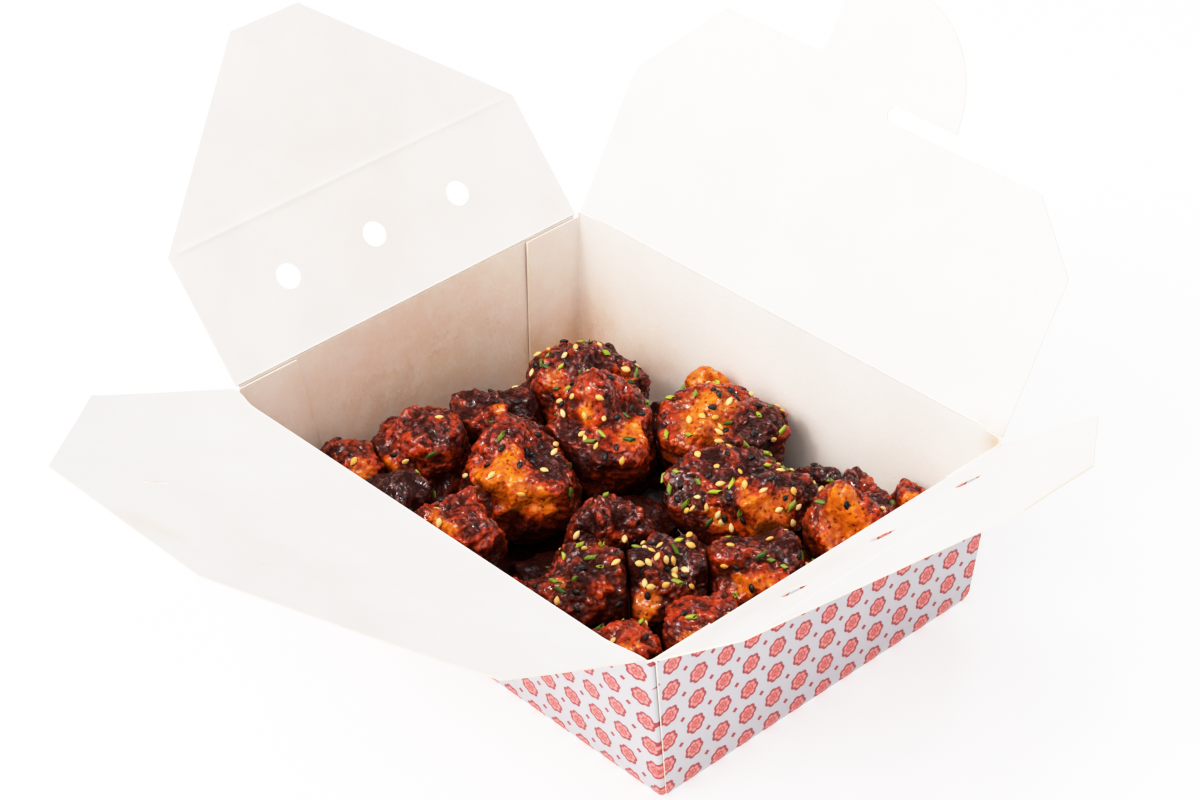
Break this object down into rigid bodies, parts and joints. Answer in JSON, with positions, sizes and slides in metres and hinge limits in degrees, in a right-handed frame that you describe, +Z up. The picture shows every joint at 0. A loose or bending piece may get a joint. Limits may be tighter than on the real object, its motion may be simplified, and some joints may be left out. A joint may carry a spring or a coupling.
{
  "type": "takeaway box of glazed fried chicken",
  "caption": "Open folded paperboard takeaway box with four hinged lid flaps, heaped with glazed fried chicken pieces topped with sesame seeds and chopped chives.",
  "frame": {"origin": "centre of the underside of the box's base, which it rests on", "axes": "+Z up, X along the box's long side with the right-hand vent flap at +X, +Y towards the back flap that carries the lock tongue, the front flap with the slit at -Y"},
  "size_m": [0.3713, 0.3362, 0.1691],
  "materials": {
    "paperboard": "matte",
    "crust_dark_red": "gloss",
    "crust_brown": "gloss",
    "crust_amber": "gloss",
    "crust_deep_brown": "gloss"
  },
  "bodies": {
    "box": {"tray": "paperboard", "chicken_01": "crust_brown", "chicken_02": "crust_amber", "chicken_03": "crust_deep_brown", "chicken_04": "crust_dark_red", "chicken_05": "crust_brown", "chicken_06": "crust_amber", "chicken_07": "crust_deep_brown", "chicken_08": "crust_dark_red", "chicken_09": "crust_brown", "chicken_10": "crust_amber", "chicken_11": "crust_deep_brown", "chicken_12": "crust_dark_red", "chicken_13": "crust_brown", "chicken_14": "crust_amber", "chicken_15": "crust_deep_brown", "chicken_16": "crust_dark_red", "chicken_17": "crust_brown", "chicken_18": "crust_amber", "chicken_19": "crust_deep_brown", "chicken_20": "crust_dark_red", "chicken_21": "crust_brown", "chicken_22": "crust_amber", "chicken_23": "crust_deep_brown", "chicken_24": "crust_dark_red", "chicken_25": "crust_brown", "chicken_26": "crust_amber", "chicken_27": "crust_deep_brown", "chicken_28": "crust_dark_red", "chicken_29": "crust_brown", "chicken_30": "crust_amber"},
    "back_lid": {"back_flap": "paperboard"},
    "front_lid": {"front_flap": "paperboard"},
    "left_lid": {"left_flap": "paperboard"},
    "right_lid": {"right_flap": "paperboard"}
  },
  "joints": [
    {"name": "back_fold", "type": "hinge", "parent": "box", "child": "back_lid", "pos_m": [0, 0.0804, 0.0653], "axis": [1, 0, 0], "range_deg": [-89, 118.4]},
    {"name": "front_fold", "type": "hinge", "parent": "box", "child": "front_lid", "pos_m": [0, -0.083, 0.0649], "axis": [-1, 0, 0], "range_deg": [-57, 151.3]},
    {"name": "left_fold", "type": "hinge", "parent": "box", "child": "left_lid", "pos_m": [-0.1052, 0, 0.064], "axis": [0, 1, 0], "range_deg": [-83, 130]},
    {"name": "right_fold", "type": "hinge", "parent": "box", "child": "right_lid", "pos_m": [0.1052, 0, 0.064], "axis": [0, -1, 0], "range_deg": [-71, 141.3]}
  ]
}
